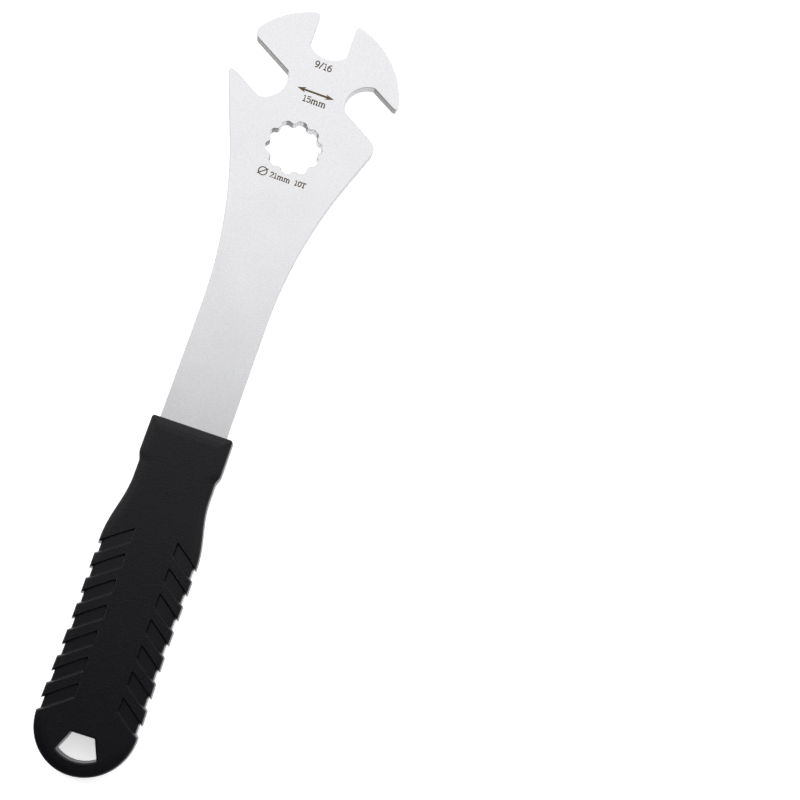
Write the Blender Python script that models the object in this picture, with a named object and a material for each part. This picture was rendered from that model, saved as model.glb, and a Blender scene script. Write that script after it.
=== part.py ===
"""Pedal wrench: a blanked steel plate with three open jaws and a toothed ring hole,
held in a moulded grip. Metres, +Z up. The tool lies flat with its marked face up and
its head towards +Y, and the origin is the middle of the face that it lies on."""

import math

import bmesh
import bpy
from mathutils import Vector
from mathutils.geometry import tessellate_polygon

# Clearance between the steel and the grip moulded round it
FIT_GAP = 0.0003

# Steel plate: blade, with flanks that leave it on an arc and run on to the side jaws,
# each a little inside the line that would touch the head's round outline
PLATE_THICKNESS = 0.0042
EDGE_BREAK = 0.00025
BLADE_WIDTH = 0.0250
BLADE_STRAIGHT = 0.0438
FLARE_ANGLE = math.radians(20.0)
LEFT_FLANK_TUCK = 0.00100
RIGHT_FLANK_TUCK = 0.00055

# Steel plate: tang inside the grip
TANG_WIDTH = 0.0190
TANG_LENGTH = 0.0800
TANG_SHOULDER = 0.0100
TANG_FILLET = 0.0020

# Steel plate: head, measured from the grip's mouth to the centre of its round outline.
# The left wing is trimmed by a straight cut, whose depth is that of its chord
HEAD_REACH = 0.1360
HEAD_RADIUS = 0.0328
WING_CUT_DEPTH = 0.0113
WING_CUT_SLANT = math.radians(18.0)
SHOULDER_FILLET = 0.0050
TIP_FILLET = 0.0017

# Open jaws: each seat is an arc a little wider than the opening, and its centre lies
# a depth inside the head's round outline
SIDE_JAW_WIDTH = 0.0153
TOP_JAW_WIDTH = 0.0144
JAW_SEAT_RADIUS = 0.0093
SIDE_JAW_SLANT = math.radians(30.0)
LEFT_SEAT_DEPTH = 0.0151
LEFT_JAW_OFFSET = 0.0094
RIGHT_SEAT_DEPTH = 0.0141
RIGHT_JAW_OFFSET = 0.0116
TOP_SEAT_DEPTH = 0.0089

# Ring hole with teeth that point inwards between its lobes
RING_SETBACK = 0.0234
RING_LOBE_DIAMETER = 0.0210
RING_TOOTH_DEPTH = 0.00125
RING_TEETH = 10
POINTS_PER_TOOTH = 12
TOOTH_TIP_SHARE = 1.0 / 6.0
TOOTH_FOOT_SHARE = 2.0 / 3.0

# Grip: outline at its parting line, with stretches measured from its mouth
GRIP_LENGTH = 0.1259
GRIP_THICKNESS = 0.0120
BUTT_RADIUS = 0.0180
BLOCK_WIDTH = 0.0307
BLOCK_LENGTH = 0.0135
STEP_LENGTH = 0.0040
NECK_WIDTH = 0.0286
NECK_LENGTH = 0.0057
SWELL_WIDTH = 0.0357
SWELL_RISE = 0.0235
WAIST_WIDTH = 0.0349
MOUTH_CORNER = 0.0013

# Grip: section through its side
SIDE_DRAFT = 0.00035
SIDE_FILLET = 0.0009
CROWN_WIDTH = 0.0034
CROWN_DROP = 0.0003
LEAST_CORNER = 0.00016

# Grip: slanted grooves that run off both sides, sized at the skin. Their pattern stands
# a little to the right of the tool's axis, and their walls lean outwards
GROOVE_COUNT = 7
GROOVE_START = 0.0403
GROOVE_PITCH = 0.00922
GROOVE_HEIGHT = 0.0053
GROOVE_INNER = 0.0077
GROOVE_SHIFT = 0.0007
GROOVE_SLANT = math.radians(36.5)
GROOVE_DEPTH = 0.0010
GROOVE_CORNER = 0.0005
GROOVE_LEAN = 0.0005

# Grip: keystone hanging hole, with its lower side concentric with the butt
HOLE_RIM = 0.0052
HOLE_TOP_DROP = 0.0037
HOLE_TOP_WIDTH = 0.0085
HOLE_LOWER_WIDTH = 0.0146
HOLE_CORNER = 0.0008
HOLE_CHAMFER = 0.0005
HOLE_DRAFT = 0.0005

# Facets: the turn from one point of a curve to the next, and how many steps a stretch takes
ARC_STEP = math.radians(4.5)
FLARE_STEP = math.radians(2.0)
SEAT_STEP = math.radians(9.0)
FILLET_STEP = math.radians(24.0)
SHARP_EDGE = math.radians(32.0)
WAIST_STEPS = 4
SWELL_STEPS = 10
MOUTH_STEPS = 6
CROWN_STEPS = 2

# How far a cutter stands clear of what it cuts, and the sharpest mitre of an inset corner
CUTTER_MARGIN = 0.0030
MITRE_LIMIT = 0.4

# Places along the tool, from the centre of the butt's round end
MOUTH_Y = GRIP_LENGTH - BUTT_RADIUS
FLARE_Y = MOUTH_Y + BLADE_STRAIGHT
HEAD_CENTRE = Vector((0.0, MOUTH_Y + HEAD_REACH))
RING_CENTRE = HEAD_CENTRE - Vector((0.0, RING_SETBACK))
MID_Z = GRIP_THICKNESS / 2.0


def unit(angle):
    """Return the unit vector at an angle from +X."""
    return Vector((math.cos(angle), math.sin(angle)))


def blend(start, end, share):
    """Ease from one value to another, level at both ends."""
    return start + (end - start) * (1.0 - math.cos(math.pi * share)) / 2.0


def arc(centre, radius, start, end, step=ARC_STEP):
    """Return points along an arc, both ends included."""
    count = max(2, math.ceil(abs(end - start) / step))
    return [centre + radius * unit(start + (end - start) * i / count) for i in range(count + 1)]


def crossing(point, direction, other, other_direction):
    """Return where two lines meet."""
    gap = other - point
    return point + direction * (gap.cross(other_direction) / direction.cross(other_direction))


def leave_circle(point, direction, centre, radius):
    """Return where a line that starts inside a circle leaves it."""
    offset = point - centre
    along = offset.dot(direction)
    half_chord = math.sqrt(along * along - offset.length_squared + radius * radius)
    return point + direction * (half_chord - along)


def bearing(centre, point):
    """Return the angle of a point about a centre, from 0 to a full turn."""
    return math.atan2(point.y - centre.y, point.x - centre.x) % math.tau


def plain(points):
    """Pair each point with no rounding."""
    return [(point, 0.0) for point in points]


def trimmed(run, distance):
    """Drop the first stretch of a run of paired points and start it where that ends."""
    for i in range(len(run) - 1):
        start, end = run[i][0], run[i + 1][0]
        length = (end - start).length
        if length > distance:
            return plain([start.lerp(end, distance / length)]) + run[i + 1:]
        distance -= length
    return run[-1:]


def rounded(outline):
    """Round the corners of a closed outline given as pairs of a point and its radius."""
    ring = list(outline)
    while any(radius > 0.0 for _, radius in ring):
        at = next(i for i, (_, radius) in enumerate(ring) if radius > 0.0)
        corner, radius = ring[at]
        onward = ring[at:] + ring[:at]
        way_in = (corner - onward[-1][0]).normalized()
        way_out = (onward[1][0] - corner).normalized()
        turn = way_in.angle_signed(way_out)
        reach = radius * math.tan(abs(turn) / 2.0)
        onward = trimmed(onward, reach)
        back = trimmed(plain([corner]) + onward[::-1], reach)
        ring = back[::-1]
        first, last = back[0][0], ring[0][0]
        count = max(2, math.ceil(abs(turn) / FILLET_STEP))
        for i in range(1, count):
            share = i / count
            near = first.lerp(corner, share)
            far = corner.lerp(last, share)
            ring.append((near.lerp(far, share), 0.0))
    return [point for point, _ in ring]


def inset(points, distance):
    """Move a closed outline that runs anticlockwise inwards by a distance."""
    moved = []
    for i, point in enumerate(points):
        before = (point - points[i - 1]).normalized()
        after = (points[(i + 1) % len(points)] - point).normalized()
        normal = Vector((-before.y, before.x))
        middle = (normal + Vector((-after.y, after.x))).normalized()
        moved.append(point + middle * (distance / max(middle.dot(normal), MITRE_LIMIT)))
    return moved


def jaw_seat(seat, facing, width):
    """Return a jaw's seat arc, from the wall on the right of the way it faces to the left."""
    half_angle = math.asin(width / 2.0 / JAW_SEAT_RADIUS)
    deepest = bearing(Vector((0.0, 0.0)), -facing)
    return arc(seat, JAW_SEAT_RADIUS, deepest + half_angle, deepest - half_angle, SEAT_STEP)


def side_jaw(facing, depth, offset):
    """Return a side jaw's seat arc, with its seat placed from the head's round outline."""
    leftwards = Vector((-facing.y, facing.x))
    seat = HEAD_CENTRE + facing * (HEAD_RADIUS - depth) + leftwards * offset
    return jaw_seat(seat, facing, SIDE_JAW_WIDTH)


def tang_end(grow):
    """Return the tang's outline below its shoulders, widened by a gap, from left to right."""
    half_tang = TANG_WIDTH / 2.0 + grow
    half_blade = BLADE_WIDTH / 2.0 + grow
    shoulder_y = MOUTH_Y - TANG_SHOULDER - grow
    tip_centre = Vector((0.0, MOUTH_Y - TANG_LENGTH + TANG_WIDTH / 2.0))
    left = [(Vector((-half, shoulder_y)), TANG_FILLET) for half in (half_blade, half_tang)]
    right = [(Vector((half, shoulder_y)), TANG_FILLET) for half in (half_tang, half_blade)]
    return left + plain(arc(tip_centre, half_tang, math.pi, math.tau, SEAT_STEP)) + right


def flare(tuck):
    """Return the arc on which a right flank leaves the blade, upwards."""
    half_blade = BLADE_WIDTH / 2.0
    rise = HEAD_CENTRE.y - FLARE_Y
    blade_flank = half_blade * math.cos(FLARE_ANGLE) + rise * math.sin(FLARE_ANGLE)
    flare_radius = (blade_flank - HEAD_RADIUS + tuck) / (1.0 - math.cos(FLARE_ANGLE))
    flare_centre = Vector((half_blade + flare_radius, FLARE_Y))
    return arc(flare_centre, flare_radius, math.pi, math.pi - FLARE_ANGLE, FLARE_STEP)


def plate_outline():
    """Return the steel plate's outline, anticlockwise from the tang."""
    right_flare = flare(RIGHT_FLANK_TUCK)
    left_flare = [Vector((-point.x, point.y)) for point in reversed(flare(LEFT_FLANK_TUCK))]
    up_right_flank = Vector((math.sin(FLARE_ANGLE), math.cos(FLARE_ANGLE)))
    up_left_flank = Vector((-up_right_flank.x, up_right_flank.y))

    facing_right = unit(-SIDE_JAW_SLANT)
    facing_left = unit(math.pi - SIDE_JAW_SLANT)
    facing_up = Vector((0.0, 1.0))
    right_seat = side_jaw(facing_right, RIGHT_SEAT_DEPTH, RIGHT_JAW_OFFSET)
    left_seat = side_jaw(facing_left, LEFT_SEAT_DEPTH, LEFT_JAW_OFFSET)
    top_centre = HEAD_CENTRE + facing_up * (HEAD_RADIUS - TOP_SEAT_DEPTH)
    top_seat = jaw_seat(top_centre, facing_up, TOP_JAW_WIDTH)

    shoulder = crossing(right_flare[-1], up_right_flank, right_seat[0], facing_right)
    right_tip = leave_circle(right_seat[-1], facing_right, HEAD_CENTRE, HEAD_RADIUS)
    top_right_tip = leave_circle(top_seat[0], facing_up, HEAD_CENTRE, HEAD_RADIUS)
    top_left_tip = leave_circle(top_seat[-1], facing_up, HEAD_CENTRE, HEAD_RADIUS)
    cut_foot = HEAD_CENTRE + unit(math.pi + WING_CUT_SLANT) * (HEAD_RADIUS - WING_CUT_DEPTH)
    up_cut = unit(math.pi / 2.0 + WING_CUT_SLANT)
    cut_top = leave_circle(cut_foot, up_cut, HEAD_CENTRE, HEAD_RADIUS)
    cut_bottom = crossing(left_seat[0], facing_left, cut_foot, up_cut)
    horn_tip = crossing(left_flare[0], up_left_flank, left_seat[-1], facing_left)

    def rim(corner, next_corner):
        """Return the head's round outline between two corners, without them."""
        start = bearing(HEAD_CENTRE, corner)
        turn = (bearing(HEAD_CENTRE, next_corner) - start) % math.tau
        return plain(arc(HEAD_CENTRE, HEAD_RADIUS, start, start + turn)[1:-1])

    outline = tang_end(0.0)
    outline += plain(right_flare)
    outline += [(shoulder, SHOULDER_FILLET)]
    outline += plain(right_seat)
    outline += [(right_tip, TIP_FILLET)]
    outline += rim(right_tip, top_right_tip)
    outline += [(top_right_tip, TIP_FILLET)] + plain(top_seat) + [(top_left_tip, TIP_FILLET)]
    outline += rim(top_left_tip, cut_top)
    outline += [(cut_top, TIP_FILLET), (cut_bottom, TIP_FILLET)]
    outline += plain(left_seat)
    outline += [(horn_tip, TIP_FILLET)]
    outline += plain(left_flare)
    return rounded(outline)


def ring_outline():
    """Return the ring hole's outline, with a lobe on the tool's axis."""
    pitch = math.tau / RING_TEETH
    tip, foot = TOOTH_TIP_SHARE, TOOTH_FOOT_SHARE
    points = []
    for i in range(RING_TEETH * POINTS_PER_TOOTH):
        turn = i * pitch / POINTS_PER_TOOTH
        from_tooth = 1.0 - abs(2.0 * ((turn / pitch + 0.5) % 1.0) - 1.0)
        share = min(max((from_tooth - tip) / (foot - tip), 0.0), 1.0)
        radius = RING_LOBE_DIAMETER / 2.0 - blend(RING_TOOTH_DEPTH, 0.0, share)
        points.append(RING_CENTRE + radius * unit(math.pi / 2.0 + turn))
    return points


def add_object(name, mesh_data, material=None):
    """Turn a bmesh into a named object with outward faces and smooth round sides."""
    bmesh.ops.recalc_face_normals(mesh_data, faces=mesh_data.faces)
    mesh = bpy.data.meshes.new(name)
    mesh_data.to_mesh(mesh)
    mesh_data.free()
    mesh.shade_smooth()
    mesh.set_sharp_from_angle(angle=SHARP_EDGE)
    if material:
        mesh.materials.append(material)
    item = bpy.data.objects.new(name, mesh)
    bpy.context.scene.collection.objects.link(item)
    return item


def add_walls(mesh_data, levels):
    """Join outlines of equal length, given with their heights, by walls. Return their rings."""
    rings = []
    for outline, height in levels:
        rings.append([mesh_data.verts.new((point.x, point.y, height)) for point in outline])
    for lower, upper in zip(rings, rings[1:]):
        for i in range(len(lower)):
            mesh_data.faces.new((lower[i - 1], lower[i], upper[i], upper[i - 1]))
    return rings


def lofted(name, levels, material=None):
    """Make a closed solid from outlines stacked upwards, flat at both ends."""
    mesh_data = bmesh.new()
    rings = add_walls(mesh_data, levels)
    mesh_data.faces.new(rings[0])
    mesh_data.faces.new(rings[-1])
    return add_object(name, mesh_data, material)


def make_cutter(item):
    """Keep an object as a guide for a Boolean and out of the model."""
    item.hide_render = True
    item.display_type = "WIRE"
    return item


def cut(item, cutter):
    """Take a cutter's volume out of an object."""
    modifier = item.modifiers.new("Cut", "BOOLEAN")
    modifier.operation = "DIFFERENCE"
    modifier.solver = "EXACT"
    modifier.object = cutter


def make_material(name, colour, roughness, metallic):
    """Return a plain material."""
    material = bpy.data.materials.new(name)
    material.use_nodes = True
    shader = material.node_tree.nodes["Principled BSDF"]
    shader.inputs["Base Color"].default_value = (*colour, 1.0)
    shader.inputs["Roughness"].default_value = roughness
    shader.inputs["Metallic"].default_value = metallic
    return material


def make_plate(outline, steel):
    """Make the steel plate: its outline and ring hole, cut through with broken edges."""
    bottom = MID_Z - PLATE_THICKNESS / 2.0
    top = MID_Z + PLATE_THICKNESS / 2.0
    hole = ring_outline()

    def broken(points, distance):
        """Return the levels of an edge that is broken at both faces."""
        small = inset(points, distance)
        return [(small, bottom), (points, bottom + EDGE_BREAK), (points, top - EDGE_BREAK), (small, top)]

    mesh_data = bmesh.new()
    outer_rings = add_walls(mesh_data, broken(outline, EDGE_BREAK))
    hole_rings = add_walls(mesh_data, broken(hole, -EDGE_BREAK))
    for outer, inner in ((outer_rings[0], hole_rings[0]), (outer_rings[-1], hole_rings[-1])):
        corners = outer + inner
        for triangle in tessellate_polygon(([vert.co for vert in outer], [vert.co for vert in inner])):
            mesh_data.faces.new([corners[i] for i in triangle])
    return add_object("wrench_plate", mesh_data, steel)


def grip_stations():
    """Return the grip's side from the butt to the mouth as pairs of a station and a half width."""
    swell_y = MOUTH_Y - BLOCK_LENGTH - STEP_LENGTH - NECK_LENGTH - SWELL_RISE
    stretches = [
        (0.0, 2.0 * BUTT_RADIUS, 0),
        (swell_y / 2.0, WAIST_WIDTH, WAIST_STEPS),
        (swell_y, SWELL_WIDTH, WAIST_STEPS),
        (swell_y + SWELL_RISE, NECK_WIDTH, SWELL_STEPS),
        (swell_y + SWELL_RISE + NECK_LENGTH, NECK_WIDTH, 1),
        (MOUTH_Y - BLOCK_LENGTH, BLOCK_WIDTH, MOUTH_STEPS),
    ]
    stations = [(stretches[0][0], BUTT_RADIUS)]
    for (start, width, _), (end, next_width, count) in zip(stretches, stretches[1:]):
        for i in range(1, count + 1):
            share = i / count
            stations.append((start + (end - start) * share, blend(width, next_width, share) / 2.0))
    return stations


def grip_outline(depth):
    """Return the grip's outline, drawn in from its parting line by a depth."""
    right = [Vector((half - depth, y)) for y, half in grip_stations()]
    corner = max(MOUTH_CORNER - depth, LEAST_CORNER)
    corner_centre = Vector((BLOCK_WIDTH / 2.0 - depth - corner, MOUTH_Y - depth - corner))
    right += arc(corner_centre, corner, 0.0, math.pi / 2.0, FILLET_STEP)
    left = [Vector((-point.x, point.y)) for point in reversed(right)]
    butt = arc(Vector((0.0, 0.0)), BUTT_RADIUS - depth, math.pi, math.tau)
    return right + left + butt[1:-1]


def grip_levels(below):
    """Return the grip's outlines and heights, for its skin or for a depth below the skin."""
    crown_height = GRIP_THICKNESS / 2.0 - below
    crown_start = SIDE_DRAFT + SIDE_FILLET
    fillet_centre = Vector((crown_start, crown_height - CROWN_DROP - SIDE_FILLET))
    section = [(0.0, 0.0)]
    for point in arc(fillet_centre, SIDE_FILLET, math.pi, math.pi / 2.0, FILLET_STEP):
        section.append((point.x, point.y))
    for i in range(1, CROWN_STEPS + 1):
        share = i / CROWN_STEPS
        drop = CROWN_DROP * (1.0 - share) ** 2
        section.append((crown_start + CROWN_WIDTH * share, crown_height - drop))
    upper = [(grip_outline(depth + below), MID_Z + height) for depth, height in section]
    lower = [(outline, 2.0 * MID_Z - height) for outline, height in reversed(upper[1:])]
    return lower + upper


def groove_outline(top, depth):
    """Return a right groove's outline, drawn in by a depth, from where its inner corner is."""
    outer = max(SWELL_WIDTH / 2.0, BUTT_RADIUS) + CUTTER_MARGIN
    fall = Vector((0.0, (outer - GROOVE_INNER) * math.tan(GROOVE_SLANT)))
    tall = Vector((0.0, GROOVE_HEIGHT))
    inner_top = Vector((GROOVE_INNER, top))
    outer_top = Vector((outer, top))
    corners = [inner_top, inner_top - tall, outer_top - tall - fall, outer_top - fall]
    corner = GROOVE_CORNER - depth / 2.0
    return rounded(list(zip(inset(corners, depth), (corner, corner, 0.0, 0.0))))


def groove_cutters():
    """Return a cutter for all the grooves, which stops at the grip's core."""
    lowest = GROOVE_DEPTH + CROWN_DROP
    flare = -GROOVE_LEAN * GROOVE_DEPTH / lowest
    section = [(-GROOVE_DEPTH, flare), (lowest, GROOVE_LEAN)]
    section += [(GRIP_THICKNESS - height, depth) for height, depth in reversed(section)]
    mesh_data = bmesh.new()
    for i in range(GROOVE_COUNT):
        top = MOUTH_Y - GROOVE_START - i * GROOVE_PITCH
        right = [(groove_outline(top, depth), height) for height, depth in section]
        left = [([Vector((-p.x, p.y)) for p in reversed(outline)], height) for outline, height in right]
        for levels in (right, left):
            rings = add_walls(mesh_data, levels)
            mesh_data.faces.new(rings[0])
            mesh_data.faces.new(rings[-1])
    bmesh.ops.translate(mesh_data, verts=mesh_data.verts, vec=(GROOVE_SHIFT, 0.0, 0.0))
    grooves = make_cutter(add_object("groove_cutter", mesh_data))
    cut(grooves, make_cutter(lofted("grip_core", grip_levels(GROOVE_DEPTH))))
    return grooves


def hanging_hole_cutter():
    """Return a cutter for the keystone hole, drafted to the parting line and chamfered."""
    lower_radius = BUTT_RADIUS - HOLE_RIM
    half_angle = math.asin(HOLE_LOWER_WIDTH / 2.0 / lower_radius)
    straight_down = 1.5 * math.pi
    lower = arc(Vector((0.0, 0.0)), lower_radius, straight_down - half_angle, straight_down + half_angle)
    half_top = HOLE_TOP_WIDTH / 2.0
    corners = [(lower[0], HOLE_CORNER)] + plain(lower[1:-1]) + [(lower[-1], HOLE_CORNER)]
    corners += [(Vector((x, -HOLE_TOP_DROP)), HOLE_CORNER) for x in (half_top, -half_top)]
    outline = rounded(corners)
    half = GRIP_THICKNESS / 2.0
    flare = HOLE_CHAMFER + CUTTER_MARGIN
    upper = [(0.0, HOLE_DRAFT), (half - HOLE_CHAMFER, 0.0), (half + CUTTER_MARGIN, -flare)]
    section = [(-height, depth) for height, depth in reversed(upper[1:])] + upper
    levels = [(inset(outline, depth), MID_Z + height) for height, depth in section]
    return make_cutter(lofted("hole_cutter", levels))


def pocket_cutter():
    """Return a cutter for the pocket that the tang sits in, open at the mouth."""
    half_blade = BLADE_WIDTH / 2.0 + FIT_GAP
    half_height = PLATE_THICKNESS / 2.0 + FIT_GAP
    outline = tang_end(FIT_GAP)
    outline += plain([Vector((x, MOUTH_Y + CUTTER_MARGIN)) for x in (half_blade, -half_blade)])
    points = rounded(outline)
    levels = [(points, MID_Z - half_height), (points, MID_Z + half_height)]
    return make_cutter(lofted("pocket_cutter", levels))


def make_grip(rubber):
    """Make the grip: a swelling, crowned body with its grooves, pocket and hanging hole."""
    grip = lofted("handle_grip", grip_levels(0.0), rubber)
    cutters = [groove_cutters(), pocket_cutter(), hanging_hole_cutter()]
    for cutter in cutters:
        cut(grip, cutter)
    return grip


def main():
    """Build the wrench and centre it over the origin."""
    for item in list(bpy.data.objects):
        bpy.data.objects.remove(item, do_unlink=True)
    steel = make_material("satin_steel", (0.72, 0.72, 0.74), 0.38, 1.0)
    rubber = make_material("black_grip", (0.016, 0.016, 0.018), 0.55, 0.0)
    outline = plate_outline()
    make_plate(outline, steel)
    make_grip(rubber)
    left = min(point.x for point in outline)
    right = max(point.x for point in outline)
    front = max(point.y for point in outline)
    middle = Vector(((left + right) / 2.0, (front - BUTT_RADIUS) / 2.0, 0.0))
    tool = bpy.data.objects.new("tool", None)
    bpy.context.scene.collection.objects.link(tool)
    tool.location = -middle
    for item in bpy.data.objects:
        if item is not tool:
            item.parent = tool


main()
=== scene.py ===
"""Looks of a pedal wrench: satin plated steel with burnt-in size marks, and a black moulded grip.

Metres, +Z up. The tool lies flat with its head towards +Y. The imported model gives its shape,
and this script adds finishes, size marks, a pale floor, soft light and the camera.
"""

import math

import bpy
from bpy.props import FloatProperty, FloatVectorProperty, PointerProperty
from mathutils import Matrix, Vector


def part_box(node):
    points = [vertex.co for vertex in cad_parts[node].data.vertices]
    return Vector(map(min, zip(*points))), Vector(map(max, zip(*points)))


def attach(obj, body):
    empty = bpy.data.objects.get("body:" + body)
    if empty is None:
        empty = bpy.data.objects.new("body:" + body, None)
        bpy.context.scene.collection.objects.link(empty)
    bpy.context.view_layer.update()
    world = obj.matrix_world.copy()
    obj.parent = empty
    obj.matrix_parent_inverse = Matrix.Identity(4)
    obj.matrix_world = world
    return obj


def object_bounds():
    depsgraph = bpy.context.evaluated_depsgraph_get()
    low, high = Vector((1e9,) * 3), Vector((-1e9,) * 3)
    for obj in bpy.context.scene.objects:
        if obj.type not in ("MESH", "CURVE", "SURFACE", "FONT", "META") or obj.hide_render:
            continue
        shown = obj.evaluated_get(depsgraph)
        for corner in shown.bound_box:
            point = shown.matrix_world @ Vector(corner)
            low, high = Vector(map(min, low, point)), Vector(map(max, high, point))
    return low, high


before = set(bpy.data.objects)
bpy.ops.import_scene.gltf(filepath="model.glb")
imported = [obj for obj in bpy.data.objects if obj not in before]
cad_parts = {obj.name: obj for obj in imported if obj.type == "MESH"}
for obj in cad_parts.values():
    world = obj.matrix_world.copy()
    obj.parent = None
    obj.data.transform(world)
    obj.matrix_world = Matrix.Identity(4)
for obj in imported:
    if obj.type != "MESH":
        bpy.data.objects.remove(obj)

bl_info = {
    "name": "Pedal Wrench Finish",
    "version": (1, 0, 0),
    "blender": (4, 5, 0),
    "location": "3D View > Sidebar > Wrench",
    "description": "Finishes, size marks and a studio for a pedal wrench",
    "category": "Object",
}

MM = 0.001

CAD_LOW, CAD_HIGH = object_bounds()
GRIP_LOW, GRIP_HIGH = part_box("handle_grip")
PLATE_LOW, PLATE_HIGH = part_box("wrench_plate")

# The tool's own lines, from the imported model
TOOL_AXIS_X = (GRIP_LOW.x + GRIP_HIGH.x) / 2.0
MID_Z = (GRIP_LOW.z + GRIP_HIGH.z) / 2.0
MOUTH_Y = GRIP_HIGH.y

# Plate: how far its faces lie from the middle of its thickness, and between which distances
# from there the finish of the walls gives way to that of the faces
FACE_HALF = (PLATE_HIGH.z - PLATE_LOW.z) / 2.0
FACE_FADE = (FACE_HALF - 0.05 * MM, FACE_HALF - 0.02 * MM)

# Ring hole: its centre, the radius at the roots of its teeth, between which radii the finish
# of its wall ends, and where a tooth's flank gets painted shade, as the sine of the turn round the
# teeth
RING_X = TOOL_AXIS_X
RING_Y = 91.77 * MM
RING_RADIUS = 10.5 * MM
RING_FADE = (RING_RADIUS + 0.2 * MM, RING_RADIUS + 0.6 * MM)
RING_TEETH = 10
SHADED_FADE = (0.05, 0.65)

# Side jaws: the centre of each seat's arc, in millimetres, and the way the jaw faces. The
# straight walls stand half a jaw's width from its middle line, and begin a depth behind the
# centre of the seat's arc. Their painted shade ends over one fade beside them, and begins over
# the other along the jaw.
SIDE_JAWS = ((22.228, 115.870, -30.0), (-19.794, 115.884, 150.0))
SIDE_JAW_HALF = 7.65 * MM
SEAT_DEPTH = 5.3 * MM
SHADED_WALL_FADE = (0.35 * MM, 0.55 * MM)
SEAT_FADE = (-SEAT_DEPTH - 0.15 * MM, -SEAT_DEPTH + 0.15 * MM)

# Grooves in the grip, as the model has them at the skin, and how far their walls lean in
GROOVE_START = 40.3 * MM
GROOVE_PITCH = 9.22 * MM
GROOVE_HEIGHT = 5.3 * MM
GROOVE_INNER = 7.7 * MM
GROOVE_SHIFT = 0.7 * MM
GROOVE_SLANT = math.radians(36.5)
GROOVE_COUNT = 7
GROOVE_LEAN = 0.38 * MM

# Over how far a groove's floor goes over into its walls, how far outside the groove its soft
# rim begins, and how wide that rim is
FLOOR_EDGE = 0.10 * MM
RIM_OUT = 0.20 * MM
RIM_EDGE = 0.42 * MM

# Patterns: the size of their features, and how far some are drawn out across the tool, along
# it and through its thickness
STEEL_CLOUD = 14.0 * MM
STREAK = 0.22 * MM
STREAK_DRAW = (1.0, 1.0, 9.0)
SCALE = 0.7 * MM
SCALE_DRAW = (1.0, 1.0, 0.35)
GRIP_CLOUD = 18.0 * MM
DUST_GAP = 9.0 * MM
MARK_MOTTLE = 0.25 * MM
FLOOR_TOOTH = 1.5 * MM

# Steel: how far the faces' roughness wanders, how rough the walls are and how much less so
# the ring's is, the walls' share of metal, and how high grain and scale stand beside streaks
FACE_ROUGH_DRIFT = 0.04
WALL_ROUGH = (0.55, 0.80)
RING_SMOOTHER = 0.10
WALL_METAL = 0.35
FACE_RELIEF = 0.08
SCALE_RELIEF = 0.6

# Grip's skin: the size of a pebble in grains and how soft its edge is, how far the roughness
# wanders and how much smoother the grooves are, and how high grain, pebbles and rims stand
PEBBLE_GRAINS = 1.6
PEBBLE_SOFTNESS = 0.6
SKIN_ROUGH_DRIFT = 0.06
GROOVE_SMOOTHER = 0.04
GRAIN_RELIEF = 1.1
PEBBLE_RELIEF = 1.5
RIM_RELIEF = 4.4

# Clouds on the skin and specks of dust: how strongly they show and in what tint or colour,
# and between which parts of the gap between specks one ends
CLOUD_SHARE = 0.5
CLOUD_TINT = 1.3
DUST_SHARE = 0.5
DUST_COLOUR = (0.12, 0.12, 0.13)
DUST_FADE = (0.010, 0.022)

# How rough the burnt marks are
MARK_ROUGH = (0.5, 0.72)

# Size marks: name, words, left and right side, base line, height and pen, in millimetres
# across from the tool's axis and along from its middle
MARK_WORDS = (
    ("mark_end_jaw", "9/16", -3.2, 3.6, 125.27, 2.55, 0.46),
    ("mark_side_jaws", "15mm", -3.25, 6.0, 110.7, 2.33, 0.47),
    ("mark_ring", "21mm", -5.1, 2.9, 77.8, 1.95, 0.44),
    ("mark_teeth", "10T", 4.5, 8.9, 77.9, 1.9, 0.44),
)

# Arrow between the side jaws: its tips, its line, the length and half the width of a head,
# and how far the head's back is notched, as a share of its length
ARROW_LEFT = -6.55 * MM
ARROW_RIGHT = 8.2 * MM
ARROW_Y = 115.1 * MM
ARROW_HEAD = 3.5 * MM
ARROW_HALF = 1.15 * MM
ARROW_NOTCH = 0.3

# Sign for a diameter beside the ring's size: its centre, its ring, and its stroke's half
# length and slant
SIGN_X = -7.95 * MM
SIGN_Y = 79.0 * MM
SIGN_RADIUS = 1.6 * MM
SIGN_REACH = 2.3 * MM
SIGN_SLANT = math.radians(39.0)

# Pen: the turn of one step of a bow in degrees, the fewest steps, and the gap between a
# stroke's ends that counts as closed
BOW_STEP = 18.0
BOW_LEAST = 3
CLOSED_GAP = 0.01 * MM

FLOOR_SIZE = 8.0

# Soft lights: name, place, width, height and power in watts
LIGHTS = (
    ("right_light", (0.92, -0.74, 0.55), 0.90, 0.60, 1.5),
    ("left_light", (-0.75, 0.25, 0.70), 0.60, 0.40, 3.0),
)

# Where the light from all round grows, as the Y part of its direction
SKY_TURN = (-0.01, 0.24)

# Way to the pale wall that lights the tool's right side and front, and where its light grows,
# as the share of a direction that runs that way
FRONT_WAY = (0.57, -0.81, 0.15)
FRONT_TURN = (0.40, 0.85)

# Camera, found from the walls that show in the jaws and from the ring. The sensor's width
# and the lens are in millimetres.
CAMERA_PLACE = Vector((27.205, -99.584, 507.953)) * MM
CAMERA_TURN = tuple(math.radians(angle) for angle in (10.6911, -8.2834, 17.7502))
CAMERA_LENS = 63.2328
SENSOR_WIDTH = 36.0
CLIP_START = 0.01


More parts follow.
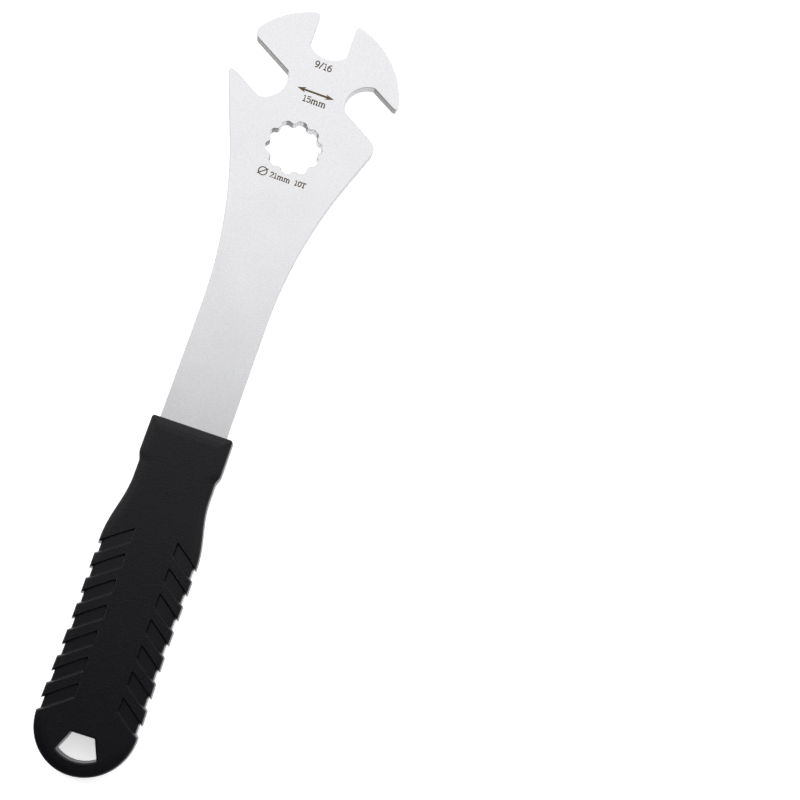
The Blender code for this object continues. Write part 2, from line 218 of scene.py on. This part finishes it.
class SteelSettings(bpy.types.PropertyGroup):
    """Finish of the steel plate."""

    face_colour: FloatVectorProperty(
        name="Face colour", description="Plating on the flat faces", subtype="COLOR",
        size=3, min=0.0, max=1.0, default=(0.545, 0.545, 0.560))
    wall_colour: FloatVectorProperty(
        name="Wall colour", description="Plated walls of the outline and the jaws' round seats",
        subtype="COLOR", size=3, min=0.0, max=1.0, default=(0.66, 0.66, 0.67))
    # Painted shade: the darker colour below stands in for the shade on the side jaws' straight
    # walls; only its streaks are the walls' own.
    shaded_wall_colour: FloatVectorProperty(
        name="Ground colour", description="Straight walls of the side jaws, ground to size",
        subtype="COLOR", size=3, min=0.0, max=1.0, default=(0.35, 0.345, 0.335))
    # Painted light and shade: the ring's colour below stands for the lit flank of each tooth, and
    # the share after it makes a darker copy for the shaded flank.
    lit_ring_colour: FloatVectorProperty(
        name="Ring colour", description="Wall of the ring hole, on the smooth flanks of its teeth",
        subtype="COLOR", size=3, min=0.0, max=1.0, default=(0.80, 0.80, 0.81))
    shaded_share: FloatProperty(
        name="Torn share", description="How light the teeth's torn flanks are beside the smooth",
        subtype="FACTOR", min=0.0, max=1.0, default=0.36)
    roughness: FloatProperty(
        name="Roughness", description="Roughness of the flat faces", subtype="FACTOR",
        min=0.0, max=1.0, default=0.26)
    grain: FloatProperty(
        name="Grain", description="Size of the plating's grain", unit="LENGTH",
        default=0.55 * MM)


class GripSettings(bpy.types.PropertyGroup):
    """Finish of the moulded grip."""

    colour: FloatVectorProperty(
        name="Colour", description="Soft-touch skin", subtype="COLOR",
        size=3, min=0.0, max=1.0, default=(0.0013, 0.0013, 0.0027))
    groove_colour: FloatVectorProperty(
        name="Groove colour", description="Smooth floor of the grooves", subtype="COLOR",
        size=3, min=0.0, max=1.0, default=(0.0046, 0.0046, 0.0066))
    roughness: FloatProperty(
        name="Roughness", description="Roughness of the skin", subtype="FACTOR",
        min=0.0, max=1.0, default=0.31)
    grain: FloatProperty(
        name="Grain", description="Size of the moulded grain", unit="LENGTH",
        default=0.27 * MM)


class MarkSettings(bpy.types.PropertyGroup):
    """Size marks burnt into the marked face."""

    colour: FloatVectorProperty(
        name="Colour", description="Burnt brown of the marks", subtype="COLOR",
        size=3, min=0.0, max=1.0, default=(0.115, 0.080, 0.046))
    thickness: FloatProperty(
        name="Thickness", description="How far a mark stands above the face", unit="LENGTH",
        default=0.02 * MM)
    arrow_width: FloatProperty(
        name="Arrow width", description="Width of the arrow's shaft", unit="LENGTH",
        default=0.80 * MM)
    sign_width: FloatProperty(
        name="Sign width", description="Line width of the diameter sign", unit="LENGTH",
        default=0.44 * MM)


class StageSettings(bpy.types.PropertyGroup):
    """Floor, light and camera."""

    floor_colour: FloatVectorProperty(
        name="Floor colour", description="Pale floor", subtype="COLOR",
        size=3, min=0.0, max=1.0, default=(0.95, 0.95, 0.95))
    floor_glow: FloatProperty(
        name="Floor glow", description="Light that comes through the floor's pale sheet",
        min=0.0, default=0.62)
    sky_strength: FloatProperty(
        name="Sky strength", description="Light from all round, beyond the head",
        min=0.0, default=1.62)
    sky_fall: FloatProperty(
        name="Sky fall", description="Share of that light that comes from the butt's side",
        subtype="FACTOR", min=0.0, max=1.0, default=0.04)
    front_strength: FloatProperty(
        name="Front strength", description="Light from a pale wall on the right and in front",
        min=0.0, default=0.40)
    lens: FloatProperty(
        name="Lens", description="Camera's focal length", unit="CAMERA", default=CAMERA_LENS)


class Signal:
    """An output socket, with arithmetic that adds Math nodes."""

    def __init__(self, nodes, socket):
        self.nodes = nodes
        self.socket = socket

    def __add__(self, other):
        return self.nodes.math("ADD", self, other)

    def __sub__(self, other):
        return self.nodes.math("SUBTRACT", self, other)

    def __rsub__(self, other):
        return self.nodes.math("SUBTRACT", other, self)

    def __mul__(self, other):
        return self.nodes.math("MULTIPLY", self, other)

    def __mod__(self, other):
        return self.nodes.math("FLOORED_MODULO", self, other)

    def __abs__(self):
        return self.nodes.math("ABSOLUTE", self)

    __radd__ = __add__
    __rmul__ = __mul__


class Nodes:
    """A node tree, with one method that adds any node to it."""

    def __init__(self, tree):
        self.tree = tree

    def add(self, kind, settings, inputs, output=0):
        """Add a node, give it its settings and then its values or links, and return an output."""
        node = self.tree.nodes.new(kind)
        for name, value in settings.items():
            setattr(node, name, value)
        for name, value in inputs.items():
            self.feed(node.inputs[name], value)
        return Signal(self, node.outputs[output])

    def feed(self, socket, value):
        """Give a socket a link or a value."""
        if isinstance(value, Signal):
            self.tree.links.new(value.socket, socket)
        else:
            socket.default_value = value

    def math(self, operation, first, second=0.0):
        """Return a Math node's result."""
        return self.add("ShaderNodeMath", {"operation": operation}, {0: first, 1: second})

    def axes(self, place):
        """Return the x, y and z of a place or a direction."""
        x = self.add("ShaderNodeSeparateXYZ", {}, {0: place})
        return [Signal(self, output) for output in x.socket.node.outputs]

    def rise(self, value, low, high, start=0.0, end=1.0):
        """Return a smooth climb from start, below low, to end, above high: a mask by default."""
        return self.add("ShaderNodeMapRange", {"interpolation_type": "SMOOTHSTEP"},
                        {"Value": value, "From Min": low, "From Max": high,
                         "To Min": start, "To Max": end})


class Finish(Nodes):
    """A material's nodes: its shader, its coordinates, and patterns that lie on them."""

    # Sockets of a Mix node that mixes colours
    MIX_COLOURS = {"factor": 0, "first": 6, "second": 7, "result": 2}

    def __init__(self, name):
        self.material = bpy.data.materials.new(name)
        self.material.use_nodes = True
        super().__init__(self.material.node_tree)
        self.shader = self.tree.nodes["Principled BSDF"]
        self.place = self.add("ShaderNodeTexCoord", {}, {}, "Object")

    def shade(self, name, value):
        """Give the shader's own socket a link or a value."""
        self.feed(self.shader.inputs[name], value)

    def span(self, pattern, low, high):
        """Return a pattern between 0 and 1 stretched to run from low to high."""
        return self.add("ShaderNodeMapRange", {},
                        {"Value": pattern, "To Min": low, "To Max": high})

    def drift(self, pattern, middle, reach):
        """Return a value that a pattern lets wander by a reach to both sides."""
        return self.span(pattern, middle - reach, middle + reach)

    def noise(self, size, detail=2.0, stretch=(1.0, 1.0, 1.0)):
        """Return noise with features of a size, drawn out along the axes by a stretch."""
        scaled = self.add(
            "ShaderNodeMapping", {},
            {"Vector": self.place, "Scale": [1.0 / (size * long) for long in stretch]})
        return self.add("ShaderNodeTexNoise", {},
                        {"Vector": scaled, "Scale": 1.0, "Detail": detail})

    def cells(self, size, softness=0.0):
        """Return how far a point is from the nearest of points scattered a size apart."""
        settings = {}
        inputs = {"Vector": self.place, "Scale": 1.0 / size}
        if softness:
            settings["feature"] = "SMOOTH_F1"
            inputs["Smoothness"] = softness
        return self.add("ShaderNodeTexVoronoi", settings, inputs, "Distance")

    def blend(self, factor, first, second):
        """Return one colour going over into another."""
        slots = self.MIX_COLOURS
        inputs = {slots["factor"]: factor}
        for slot, colour in (("first", first), ("second", second)):
            inputs[slots[slot]] = colour if isinstance(colour, Signal) else (*colour, 1.0)
        return self.add("ShaderNodeMix", {"data_type": "RGBA"}, inputs, slots["result"])

    def mottle(self, pattern, colour, dark, light):
        """Return a colour that a pattern makes darker and lighter, by shares of itself."""
        return self.blend(pattern, tint(colour, dark), tint(colour, light))

    def bump(self, height, strength, distance):
        """Let a height in units of a distance dent the surface."""
        normal = self.add("ShaderNodeBump", {},
                          {"Height": height, "Strength": strength, "Distance": distance}, "Normal")
        self.shade("Normal", normal)


def tint(colour, share):
    """Return a colour made lighter or darker by a share."""
    return tuple(channel * share for channel in colour)


def ring_masks(finish, x, y):
    """Return a mask of the ring hole's wall, and one of the flanks of its teeth with painted
    shade.
    """
    across = x - RING_X
    along = y - RING_Y
    reach = finish.math("POWER", across * across + along * along, 0.5)
    turn = finish.math("ARCTAN2", along, across)
    shaded = finish.rise(finish.math("SINE", turn * RING_TEETH), *SHADED_FADE)
    return 1.0 - finish.rise(reach, *RING_FADE), shaded


def shaded_wall_mask(finish, x, y):
    """Return a mask of the straight walls of the side jaws, where shade is painted."""
    walls = []
    for centre_x, centre_y, facing in SIDE_JAWS:
        way = Vector((math.cos(math.radians(facing)), math.sin(math.radians(facing))))
        across = x - centre_x * MM
        along = y - centre_y * MM
        ahead = across * way.x + along * way.y
        aside = abs(along * way.x - across * way.y)
        wall = 1.0 - finish.rise(abs(aside - SIDE_JAW_HALF), *SHADED_WALL_FADE)
        walls.append(wall * finish.rise(ahead, *SEAT_FADE))
    return sum(walls)


def steel_finish(settings):
    """Return the plate's finish: fine-grained plating, with painted shade and light on its walls.
    """
    finish = Finish("satin_steel")
    x, y, z = finish.axes(finish.place)
    face = finish.rise(abs(z - MID_Z), *FACE_FADE)
    ring, shaded = ring_masks(finish, x, y)
    grain = finish.noise(settings.grain, detail=3.0)
    cloud = finish.noise(STEEL_CLOUD)
    streak = finish.noise(STREAK, stretch=STREAK_DRAW)
    scale = finish.noise(SCALE, stretch=SCALE_DRAW)

    plated_face = finish.mottle(grain, settings.face_colour, dark=0.89, light=1.10)
    plated_wall = finish.mottle(streak, settings.wall_colour, dark=0.85, light=1.12)
    # Painted shade: the side jaws' straight walls get a darker copy of the walls' colour, with
    # real streaks.
    shaded_wall = finish.mottle(streak, settings.shaded_wall_colour, dark=0.6, light=1.45)
    # Painted light and shade: one flank of each of the ring's teeth gets a lit copy of the ring's
    # colour, the other a shaded copy.
    lit_flank = finish.mottle(streak, settings.lit_ring_colour, dark=0.88, light=1.10)
    shaded_flank = tint(settings.lit_ring_colour, settings.shaded_share)
    outline = finish.blend(shaded_wall_mask(finish, x, y), plated_wall, shaded_wall)
    walls = finish.blend(ring, outline, finish.blend(shaded, lit_flank, shaded_flank))
    finish.shade("Base Color", finish.blend(face, walls, plated_face))

    face_rough = finish.drift(cloud, settings.roughness, FACE_ROUGH_DRIFT)
    wall_rough = finish.span(streak, *WALL_ROUGH) - ring * RING_SMOOTHER
    finish.shade("Roughness", face * face_rough + (1.0 - face) * wall_rough)
    finish.shade("Metallic", WALL_METAL + face * (1.0 - WALL_METAL))
    relief = face * grain * FACE_RELIEF + (1.0 - face) * (streak + scale * SCALE_RELIEF)
    finish.bump(relief, strength=0.35, distance=0.04 * MM)
    return finish.material


def groove_mask(finish, x, y, edge, lean_in):
    """Return a mask of the slanted grooves, drawn in by a lean and fading over an edge."""
    out = abs(x - TOOL_AXIS_X - GROOVE_SHIFT)
    lean = lean_in / math.cos(GROOVE_SLANT)
    top = GROOVE_HEIGHT - lean
    last = GROOVE_COUNT * GROOVE_PITCH
    inner = GROOVE_INNER + lean_in
    fallen = y + (out - GROOVE_INNER) * math.tan(GROOVE_SLANT)
    below_first = (MOUTH_Y - GROOVE_START) - fallen
    below = below_first % GROOVE_PITCH
    inside = finish.rise(below, lean, lean + edge) * (1.0 - finish.rise(below, top - edge, top))
    rows = finish.rise(below_first, 0.0, edge)
    rows = rows * (1.0 - finish.rise(below_first, last - edge, last))
    return inside * rows * finish.rise(out, inner, inner + edge)


def grip_finish(settings):
    """Return the grip's finish: a grained soft-touch skin with smooth groove floors."""
    finish = Finish("black_grip")
    x, y, _ = finish.axes(finish.place)
    floor = groove_mask(finish, x, y, FLOOR_EDGE, GROOVE_LEAN)
    rim = 1.0 - groove_mask(finish, x, y, RIM_EDGE, -RIM_OUT)
    grain = finish.noise(settings.grain, detail=3.0)
    pebble = finish.cells(PEBBLE_GRAINS * settings.grain, PEBBLE_SOFTNESS)
    cloud = finish.noise(GRIP_CLOUD)
    speck = 1.0 - finish.rise(finish.cells(DUST_GAP), *DUST_FADE)

    skin = finish.mottle(grain, settings.colour, dark=0.55, light=1.6)
    skin = finish.blend(cloud * CLOUD_SHARE, skin, tint(settings.colour, CLOUD_TINT))
    clean = finish.blend(floor, skin, settings.groove_colour)
    finish.shade("Base Color", finish.blend(speck * DUST_SHARE, clean, DUST_COLOUR))
    skin_rough = finish.drift(grain, settings.roughness, SKIN_ROUGH_DRIFT)
    groove_rough = settings.roughness - GROOVE_SMOOTHER
    finish.shade("Roughness", (1.0 - floor) * skin_rough + floor * groove_rough)
    finish.shade("Specular IOR Level", 0.25)
    relief = (1.0 - floor) * (grain * GRAIN_RELIEF + pebble * PEBBLE_RELIEF) + rim * RIM_RELIEF
    finish.bump(relief, strength=0.6, distance=0.05 * MM)
    return finish.material


def mark_finish(settings):
    """Return the finish of the burnt marks: brown, mottled, dull."""
    finish = Finish("burnt_mark")
    mottling = finish.noise(MARK_MOTTLE)
    burnt = finish.mottle(mottling, settings.colour, dark=0.75, light=1.25)
    finish.shade("Base Color", burnt)
    finish.shade("Roughness", finish.span(mottling, *MARK_ROUGH))
    finish.shade("Specular IOR Level", 0.1)
    finish.bump(mottling, strength=0.2, distance=0.01 * MM)
    return finish.material


def floor_finish(settings):
    """Return the floor's finish: pale and even, with a faint tooth."""
    finish = Finish("pale_floor")
    tooth = finish.noise(FLOOR_TOOTH)
    sheet = finish.mottle(tooth, settings.floor_colour, dark=0.995, light=1.0)
    finish.shade("Base Color", sheet)
    finish.shade("Roughness", 0.9)
    finish.shade("Specular IOR Level", 0.2)
    finish.shade("Emission Color", (1.0, 1.0, 1.0, 1.0))
    finish.shade("Emission Strength", settings.floor_glow)
    return finish.material


def deselect():
    """Leave no object selected."""
    bpy.ops.object.select_all(action="DESELECT")


def bow(centre, radii, start, end):
    """Return points along a stretch of an ellipse, between two angles in degrees."""
    count = max(BOW_LEAST, round(abs(end - start) / BOW_STEP))
    points = []
    for i in range(count + 1):
        angle = math.radians(start + (end - start) * i / count)
        points.append((centre[0] + radii[0] * math.cos(angle),
                       centre[1] + radii[1] * math.sin(angle)))
    return points


def foot(x, half):
    """Return the slab serif that a stem stands on."""
    return [(x - half, 0.0), (x + half, 0.0)]


def letter_strokes():
    """Return the width and the pen strokes of each letter and figure, one unit high."""
    two = bow((0.31, 0.72), (0.23, 0.28), 170, -35) + [(0.07, 0.0), (0.56, 0.0), (0.56, 0.14)]
    five = [(0.54, 1.0), (0.13, 1.0), (0.10, 0.55)] + bow((0.29, 0.32), (0.25, 0.32), 120, -145)
    six = [bow((0.47, 0.34), (0.39, 0.66), 78, 180), bow((0.32, 0.31), (0.24, 0.31), 180, 540)]
    nine = [[(0.64 - x, 1.0 - y) for x, y in stroke] for stroke in six]
    arches = [bow((x + 0.18, 0.47), (0.18, 0.21), 180, 0) + [(x + 0.36, 0.0)]
              for x in (0.16, 0.52)]
    feet = [foot(x, 0.12) for x in (0.16, 0.52, 0.88)]
    return {
        "1": (0.56, [[(0.10, 0.83), (0.30, 1.0), (0.30, 0.0)], foot(0.30, 0.20)]),
        "2": (0.62, [two]),
        "5": (0.62, [five]),
        "6": (0.64, six),
        "9": (0.64, nine),
        "0": (0.62, [bow((0.31, 0.50), (0.23, 0.50), 90, 450)]),
        "/": (0.52, [[(0.06, -0.10), (0.46, 1.08)]]),
        "m": (1.06, [[(0.03, 0.67), (0.16, 0.67), (0.16, 0.0)], *arches, *feet]),
        "T": (0.66, [[(0.05, 0.80), (0.05, 1.0), (0.61, 1.0), (0.61, 0.80)],
                     [(0.33, 1.0), (0.33, 0.0)], foot(0.33, 0.14)]),
    }


def write_words(words, left, right, base, height):
    """Return the strokes of words fitted between two sides, standing on a base line."""
    letters = letter_strokes()
    stretch = (right - left) / sum(letters[letter][0] for letter in words)
    strokes = []
    start = left
    for letter in words:
        width, shapes = letters[letter]
        for shape in shapes:
            strokes.append([(start + x * stretch, base + y * height) for x, y in shape])
        start += width * stretch
    return strokes


def arrow_head(tip, way, length, half):
    """Return a solid arrow head's outline, pointing one way along the tool's width."""
    base = tip[0] - way * length
    notch = base + way * ARROW_NOTCH * length
    return [tip, (base, tip[1] + half), (notch, tip[1]), (base, tip[1] - half)]


def burn_in(name, strokes, pen, thickness, material):
    """Draw strokes across and along the tool with a round pen, flattened onto the marked face."""
    deselect()
    bpy.ops.curve.primitive_bezier_curve_add()
    curve = bpy.context.object.data
    curve.splines.clear()
    curve.bevel_depth = pen / 2.0
    curve.bevel_resolution = 1
    curve.use_fill_caps = True
    for stroke in strokes:
        closed = math.dist(stroke[0], stroke[-1]) < CLOSED_GAP
        points = stroke[:-1] if closed else stroke
        spline = curve.splines.new("POLY")
        spline.points.add(len(points) - 1)
        spline.use_cyclic_u = closed
        for point, (x, y) in zip(spline.points, points):
            point.co = (TOOL_AXIS_X + x, y, 0.0, 1.0)
    bpy.ops.object.convert(target="MESH")
    piece = bpy.context.object
    flatten(piece, thickness / pen)
    dress_mark(piece, name, material)


def flatten(piece, share):
    """Press a piece flat and lay it on the marked face."""
    piece.scale = (1.0, 1.0, share)
    piece.location = (0.0, 0.0, PLATE_HIGH.z)
    bpy.ops.object.transform_apply(location=True, rotation=True, scale=True)


def fill_in(name, outline, thickness, material):
    """Burn a solid shape into the marked face."""
    deselect()
    bpy.ops.mesh.primitive_circle_add(vertices=len(outline), radius=1.0, fill_type="NGON")
    piece = bpy.context.object
    for vertex, (x, y) in zip(piece.data.vertices, outline):
        vertex.co = (TOOL_AXIS_X + x, y, PLATE_HIGH.z - thickness / 2.0)
    bpy.ops.object.mode_set(mode="EDIT")
    bpy.ops.mesh.select_all(action="SELECT")
    bpy.ops.mesh.extrude_region_move(TRANSFORM_OT_translate={"value": (0.0, 0.0, thickness)})
    bpy.ops.mesh.select_all(action="SELECT")
    bpy.ops.mesh.normals_make_consistent(inside=False)
    bpy.ops.object.mode_set(mode="OBJECT")
    dress_mark(piece, name, material)


def dress_mark(piece, name, material):
    """Name a mark, give it its finish and let it ride on the tool."""
    piece.name = name
    piece.data.name = name
    piece.data.materials.clear()
    piece.data.materials.append(material)
    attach(piece, "root")


class WRENCH_OT_stage(bpy.types.Operator):
    """Lay the pale floor, hang the soft lights and set the camera"""

    bl_idname = "wrench.stage"
    bl_label = "Set the stage"

    def execute(self, context):
        settings = context.scene.wrench_stage
        deselect()
        bpy.ops.mesh.primitive_plane_add(size=FLOOR_SIZE, location=(0.0, 0.0, CAD_LOW.z))
        floor = context.object
        floor.name = "floor"
        bpy.ops.object.transform_apply(location=True)
        floor.data.materials.append(floor_finish(settings))
        for light in LIGHTS:
            self.hang(*light)
        self.paint_sky(context, settings)
        self.aim_camera(context, settings)
        context.scene.view_settings.view_transform = "Standard"
        return {"FINISHED"}

    def hang(self, name, place, width, height, power):
        """Hang a soft rectangular light that faces the middle of the floor."""
        bpy.ops.object.light_add(type="AREA", location=place)
        lamp = bpy.context.object
        lamp.name = name
        lamp.rotation_euler = Vector(place).to_track_quat("Z", "Y").to_euler()
        lamp.data.shape = "RECTANGLE"
        lamp.data.size = width
        lamp.data.size_y = height
        lamp.data.energy = power

    def paint_sky(self, context, settings):
        """Light the scene from all round, most from beyond the head and some from the front."""
        sky = bpy.data.worlds.new("studio")
        sky.use_nodes = True
        nodes = Nodes(sky.node_tree)
        way = nodes.add("ShaderNodeTexCoord", {}, {}, "Generated")
        frontward = nodes.add("ShaderNodeVectorMath", {"operation": "DOT_PRODUCT"},
                              {0: way, 1: FRONT_WAY}, "Value")
        full = settings.sky_strength
        beyond = nodes.rise(nodes.axes(way)[1], *SKY_TURN, full * settings.sky_fall, full)
        front = nodes.rise(frontward, *FRONT_TURN, 0.0, settings.front_strength)
        background = sky.node_tree.nodes["Background"]
        nodes.feed(background.inputs["Color"], (1.0, 1.0, 1.0, 1.0))
        nodes.feed(background.inputs["Strength"], beyond + front)
        context.scene.world = sky

    def aim_camera(self, context, settings):
        """Set the camera where the photograph was taken from."""
        bpy.ops.object.camera_add(location=CAMERA_PLACE, rotation=CAMERA_TURN)
        camera = context.object
        camera.name = "camera"
        camera.data.sensor_width = SENSOR_WIDTH
        camera.data.lens = settings.lens
        camera.data.clip_start = CLIP_START
        context.scene.camera = camera


class WRENCH_OT_steel(bpy.types.Operator):
    """Plate the steel, and paint shade and light on the walls of its jaws and ring"""

    bl_idname = "wrench.steel"
    bl_label = "Finish the steel"

    def execute(self, context):
        finish = steel_finish(context.scene.wrench_steel)
        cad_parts["wrench_plate"].data.materials[0] = finish
        return {"FINISHED"}


class WRENCH_OT_grip(bpy.types.Operator):
    """Give the grip its soft-touch skin and its smooth groove floors"""

    bl_idname = "wrench.grip"
    bl_label = "Finish the grip"

    def execute(self, context):
        finish = grip_finish(context.scene.wrench_grip)
        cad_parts["handle_grip"].data.materials[0] = finish
        return {"FINISHED"}


class WRENCH_OT_marks(bpy.types.Operator):
    """Burn the size marks and the arrow into the marked face"""

    bl_idname = "wrench.marks"
    bl_label = "Burn in the size marks"

    def execute(self, context):
        settings = context.scene.wrench_marks
        burnt = mark_finish(settings)
        for name, words, left, right, base, height, pen in MARK_WORDS:
            strokes = write_words(words, left * MM, right * MM, base * MM, height * MM)
            burn_in(name, strokes, pen * MM, settings.thickness, burnt)
        self.draw_arrow(settings, burnt)
        self.draw_ring_sign(settings, burnt)
        return {"FINISHED"}

    def draw_arrow(self, settings, burnt):
        """Draw the arrow that points at both side jaws."""
        left, right = ARROW_LEFT, ARROW_RIGHT
        shaft = [[(left + ARROW_HEAD / 2.0, ARROW_Y), (right - ARROW_HEAD / 2.0, ARROW_Y)]]
        burn_in("mark_arrow_shaft", shaft, settings.arrow_width, settings.thickness, burnt)
        for name, tip, way in (("left", left, -1.0), ("right", right, 1.0)):
            outline = arrow_head((tip, ARROW_Y), way, ARROW_HEAD, ARROW_HALF)
            fill_in(f"mark_arrow_{name}", outline, settings.thickness, burnt)

    def draw_ring_sign(self, settings, burnt):
        """Draw the sign for a diameter: a ring with a stroke through it."""
        ring = bow((SIGN_X, SIGN_Y), (SIGN_RADIUS, SIGN_RADIUS), 0, 360)
        reach = Vector((math.cos(SIGN_SLANT), math.sin(SIGN_SLANT))) * SIGN_REACH
        stroke = [(SIGN_X - reach.x, SIGN_Y - reach.y), (SIGN_X + reach.x, SIGN_Y + reach.y)]
        burn_in("mark_diameter", [ring, stroke], settings.sign_width, settings.thickness, burnt)


# The steps in order, each with the name of its settings in the scene and their group
STEPS = (
    (WRENCH_OT_stage, "wrench_stage", StageSettings),
    (WRENCH_OT_steel, "wrench_steel", SteelSettings),
    (WRENCH_OT_grip, "wrench_grip", GripSettings),
    (WRENCH_OT_marks, "wrench_marks", MarkSettings),
)


class WRENCH_PT_panel(bpy.types.Panel):
    """Lists the wrench's finishes and steps"""

    bl_idname = "WRENCH_PT_panel"
    bl_label = "Pedal wrench"
    bl_space_type = "VIEW_3D"
    bl_region_type = "UI"
    bl_category = "Wrench"

    def draw(self, context):
        for operator, name, group in STEPS:
            box = self.layout.box()
            for setting in group.__annotations__:
                box.prop(getattr(context.scene, name), setting)
            box.operator(operator.bl_idname)


def register():
    """Register the settings, the steps and the panel."""
    for operator, name, group in STEPS:
        bpy.utils.register_class(group)
        setattr(bpy.types.Scene, name, PointerProperty(type=group))
        bpy.utils.register_class(operator)
    bpy.utils.register_class(WRENCH_PT_panel)


def unregister():
    """Take back what register did."""
    bpy.utils.unregister_class(WRENCH_PT_panel)
    for operator, name, group in reversed(STEPS):
        bpy.utils.unregister_class(operator)
        delattr(bpy.types.Scene, name)
        bpy.utils.unregister_class(group)


def main():
    """Build the looks."""
    register()
    bpy.ops.wrench.stage()
    bpy.ops.wrench.steel()
    bpy.ops.wrench.grip()
    bpy.ops.wrench.marks()


if __name__ == "__main__":
    main()
